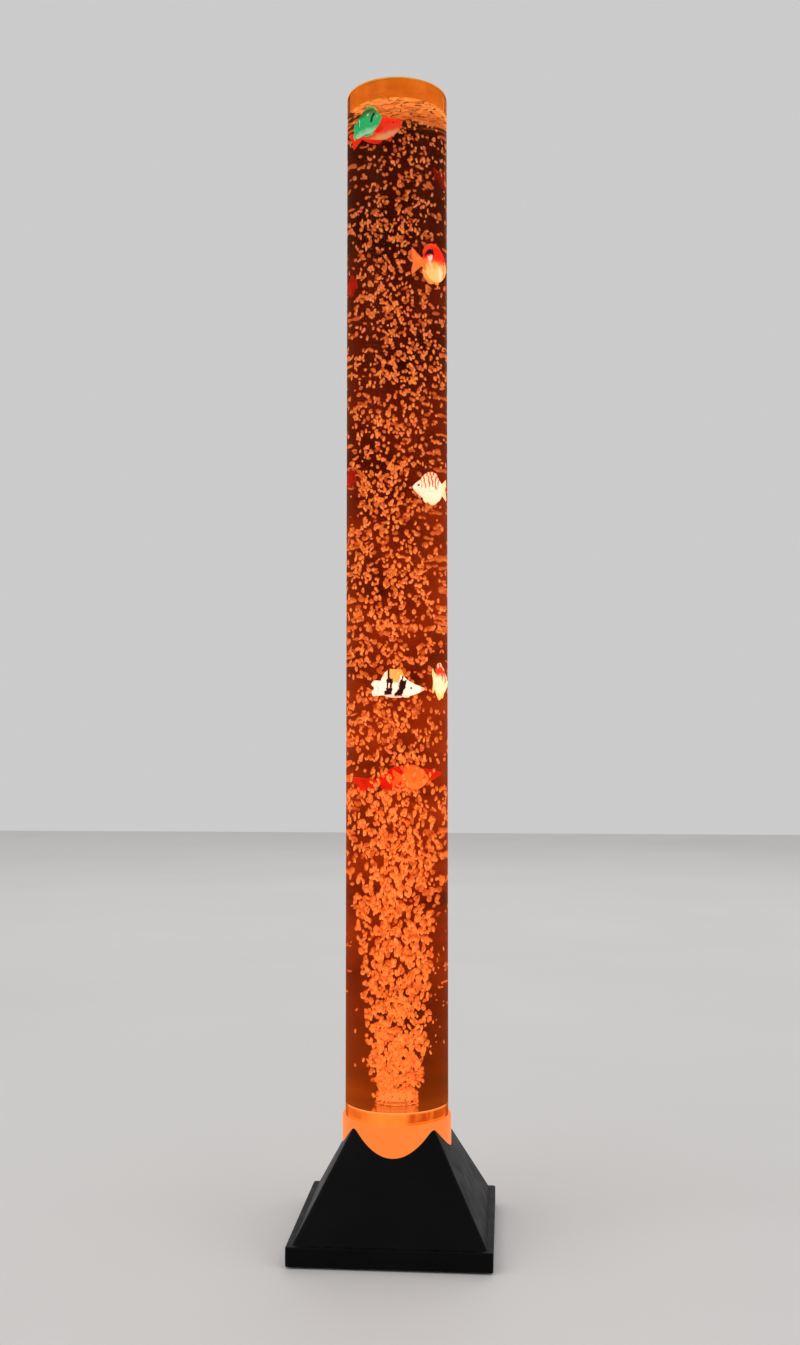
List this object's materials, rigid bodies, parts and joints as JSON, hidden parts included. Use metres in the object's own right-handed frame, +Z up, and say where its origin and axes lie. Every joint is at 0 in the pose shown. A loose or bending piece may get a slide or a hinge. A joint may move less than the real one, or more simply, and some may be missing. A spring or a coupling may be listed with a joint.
{
  "type": "bubble tube floor lamp",
  "caption": "Tall clear water-filled bubble tube with drifting toy fish on a black pyramid base with a glowing collar, vented plug lid, air pump and light ring inside.",
  "frame": {"origin": "on the floor under the middle of the square base", "axes": "+Z up along the tube, +Y towards the back with the inlet and switch"},
  "size_m": [0.2, 0.2, 1.1908],
  "materials": {
    "shell_black": "satin",
    "plate_black": "matte",
    "foot_rubber": "matte",
    "screw_steel": "satin",
    "collar_glow": "satin",
    "tube_clear": "gloss",
    "floor_clear": "gloss",
    "cement_clear": "satin",
    "fitting_white": "satin",
    "seal_rubber": "matte",
    "diffuser_stone": "matte",
    "hose_silicone": "satin",
    "valve_blue": "satin",
    "carrier_aluminium": "satin",
    "board_white": "satin",
    "lamp_chip": "gloss",
    "board_green": "satin",
    "parts_dark": "satin",
    "jack_black": "satin",
    "nut_nickel": "satin",
    "switch_black": "satin",
    "rocker_black": "gloss",
    "pump_grey": "matte",
    "core_steel": "matte",
    "coil_copper": "satin",
    "arm_steel": "satin",
    "magnet_grey": "matte",
    "lead_red": "satin",
    "lid_glow": "satin",
    "water_amber": "gloss",
    "fish_green": "satin",
    "fish_red": "satin",
    "fish_sunset": "satin",
    "fish_cream": "satin",
    "fish_banded": "satin",
    "fish_lemon": "satin",
    "fish_orange": "satin"
  },
  "bodies": {
    "root": {"base_shell": "shell_black", "bottom_plate": "plate_black", "foot_pads": "foot_rubber", "plate_screws": "screw_steel", "collar": "collar_glow", "collar_screws": "screw_steel", "tube": "tube_clear", "tube_floor": "floor_clear", "floor_cement": "cement_clear", "air_nozzle": "fitting_white", "nozzle_gasket": "seal_rubber", "nozzle_nut": "fitting_white", "diffuser": "diffuser_stone", "air_hose_upper": "hose_silicone", "air_hose_lower": "hose_silicone", "check_valve_body": "valve_blue", "led_plate": "carrier_aluminium", "led_board": "board_white", "led_chips": "lamp_chip", "led_screws": "screw_steel", "control_board": "board_green", "board_parts": "parts_dark", "board_screws": "screw_steel", "dc_jack": "jack_black", "jack_nut": "nut_nickel", "switch_housing": "switch_black", "pump_case": "pump_grey", "pump_cover": "pump_grey", "pump_core": "core_steel", "pump_coil": "coil_copper", "pump_anchor": "seal_rubber", "pump_diaphragm": "seal_rubber", "pump_valve_block": "fitting_white", "pump_mounts": "seal_rubber", "wiring": "lead_red", "water_fill": "water_amber"},
    "lid": {"lid": "lid_glow"},
    "rocker": {"switch_rocker": "rocker_black"},
    "valve_disc": {"check_valve_disc": "seal_rubber"},
    "pump_armature": {"pump_arm": "arm_steel", "pump_magnet": "magnet_grey"},
    "fish_1": {"fish_1": "fish_green"},
    "fish_2": {"fish_2": "fish_red"},
    "fish_3": {"fish_3": "fish_red"},
    "fish_4": {"fish_4": "fish_sunset"},
    "fish_5": {"fish_5": "fish_red"},
    "fish_6": {"fish_6": "fish_cream"},
    "fish_7": {"fish_7": "fish_red"},
    "fish_8": {"fish_8": "fish_banded"},
    "fish_9": {"fish_9": "fish_lemon"},
    "fish_10": {"fish_10": "fish_orange"},
    "fish_11": {"fish_11": "fish_red"}
  },
  "joints": [
    {"name": "lid_lift", "type": "slide", "parent": "root", "child": "lid", "axis": [0, 0, 1], "range_m": [0, 0.03]},
    {"name": "rocker_tilt", "type": "hinge", "parent": "root", "child": "rocker", "pos_m": [0.012, 0.068, 0.041], "axis": [0, 0, 1], "range_deg": [-16, 0]},
    {"name": "valve_disc_lift", "type": "slide", "parent": "root", "child": "valve_disc", "axis": [0, 0, 1], "range_m": [0, 0.004]},
    {"name": "armature_swing", "type": "hinge", "parent": "root", "child": "pump_armature", "pos_m": [-0.066, -0.026, 0.026], "axis": [0, 0, 1], "range_deg": [-2, 2], "stiffness_Nm_per_rad": 2, "deforming": ["pump_diaphragm"]},
    {"name": "fish_1_drift", "type": "slide", "parent": "root", "child": "fish_1", "axis": [0, 0, 1], "range_m": [-0.06, 0]},
    {"name": "fish_2_drift", "type": "slide", "parent": "root", "child": "fish_2", "axis": [0, 0, 1], "range_m": [-0.06, 0.004]},
    {"name": "fish_3_drift", "type": "slide", "parent": "root", "child": "fish_3", "axis": [0, 0, 1], "range_m": [-0.03, 0.03]},
    {"name": "fish_4_drift", "type": "slide", "parent": "root", "child": "fish_4", "axis": [0, 0, 1], "range_m": [-0.03, 0.03]},
    {"name": "fish_5_drift", "type": "slide", "parent": "root", "child": "fish_5", "axis": [0, 0, 1], "range_m": [-0.03, 0.03]},
    {"name": "fish_6_drift", "type": "slide", "parent": "root", "child": "fish_6", "axis": [0, 0, 1], "range_m": [-0.03, 0.03]},
    {"name": "fish_7_drift", "type": "slide", "parent": "root", "child": "fish_7", "axis": [0, 0, 1], "range_m": [-0.03, 0.03]},
    {"name": "fish_8_drift", "type": "slide", "parent": "root", "child": "fish_8", "axis": [0, 0, 1], "range_m": [-0.03, 0.03]},
    {"name": "fish_9_drift", "type": "slide", "parent": "root", "child": "fish_9", "axis": [0, 0, 1], "range_m": [-0.03, 0.03]},
    {"name": "fish_10_drift", "type": "slide", "parent": "root", "child": "fish_10", "axis": [0, 0, 1], "range_m": [-0.03, 0.03]},
    {"name": "fish_11_drift", "type": "slide", "parent": "root", "child": "fish_11", "axis": [0, 0, 1], "range_m": [-0.03, 0.03]}
  ]
}
